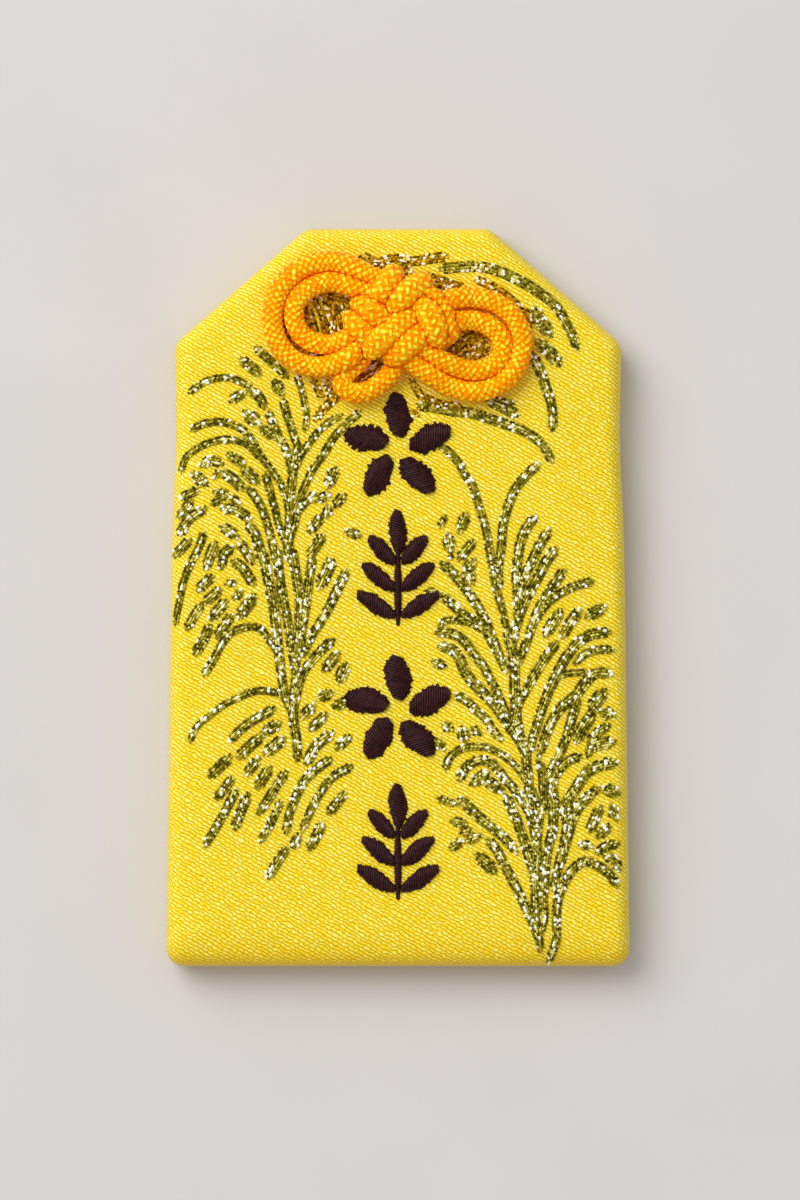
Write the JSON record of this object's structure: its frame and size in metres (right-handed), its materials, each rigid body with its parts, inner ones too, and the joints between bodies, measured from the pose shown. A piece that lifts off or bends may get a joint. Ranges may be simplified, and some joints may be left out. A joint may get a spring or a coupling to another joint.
{
  "type": "amulet pouch",
  "caption": "Padded brocade amulet pouch with clipped upper corners that holds a wrapped wooden slip, closed by a braided cord tied on its face in an ornamental knot with looped ears.",
  "frame": {"origin": "under the middle of the pouch's outline, on the surface that its flat back rests on", "axes": "+X to the charm's right as its face is seen, +Y from its foot towards its mouth, +Z out of its face"},
  "size_m": [0.05, 0.0794, 0.0108],
  "materials": {
    "brocade": "satin-woven golden yellow brocade with a fine diagonal rib",
    "lining": "plain cream lining cloth",
    "board": "grey-brown pasteboard",
    "padding": "white cotton wadding",
    "paper": "white handmade paper",
    "wood": "plain planed softwood",
    "cord": "round-braided orange-gold cord with a soft sheen",
    "thread": "yellow sewing thread"
  },
  "bodies": {
    "pouch": {"front_panel": "brocade", "back_panel": "brocade", "front_lining": "lining", "back_lining": "lining", "core_board": "board", "wadding": "padding", "right_seam_thread": "thread", "left_seam_thread": "thread", "foot_seam_thread": "thread"},
    "slip": {"paper_wrapper": "paper", "wooden_slip": "wood"},
    "tails": {"left_tail": "cord", "right_tail": "cord", "tail_knot": "cord"},
    "knot": {"knot_core": "cord"},
    "left_ear": {"left_ear_inner": "cord", "left_ear_outer": "cord"},
    "right_ear": {"right_ear_outer": "cord", "right_ear_inner": "cord"},
    "loop": {"lower_loop": "cord"}
  },
  "joints": [
    {"name": "slip_shift", "type": "slide", "parent": "pouch", "child": "slip", "axis": [0, 1, 0], "range_m": [0, 0.003]},
    {"name": "cord_pull", "type": "slide", "parent": "pouch", "child": "tails", "axis": [0, 0, 1], "range_m": [0, 0.0015]},
    {"name": "knot_swivel", "type": "hinge", "parent": "tails", "child": "knot", "pos_m": [-0.0002, 0.0303, 0.0062], "axis": [0, 0, 1], "range_deg": [-10, 30]},
    {"name": "left_ear_lift", "type": "hinge", "parent": "knot", "child": "left_ear", "pos_m": [-0.0052, 0.0353, 0.00925], "axis": [0.0839, 0.9965, 0], "range_deg": [0, 75], "stiffness_Nm_per_rad": 0.0001},
    {"name": "right_ear_lift", "type": "hinge", "parent": "knot", "child": "right_ear", "pos_m": [0.0071, 0.0311, 0.00925], "axis": [-0.3786, -0.9255, 0], "range_deg": [0, 75], "stiffness_Nm_per_rad": 0.0001},
    {"name": "lower_loop_lift", "type": "hinge", "parent": "knot", "child": "loop", "pos_m": [-0.004, 0.0242, 0.00855], "axis": [-0.9985, 0.054, 0], "range_deg": [0, 60], "stiffness_Nm_per_rad": 0.0001}
  ]
}
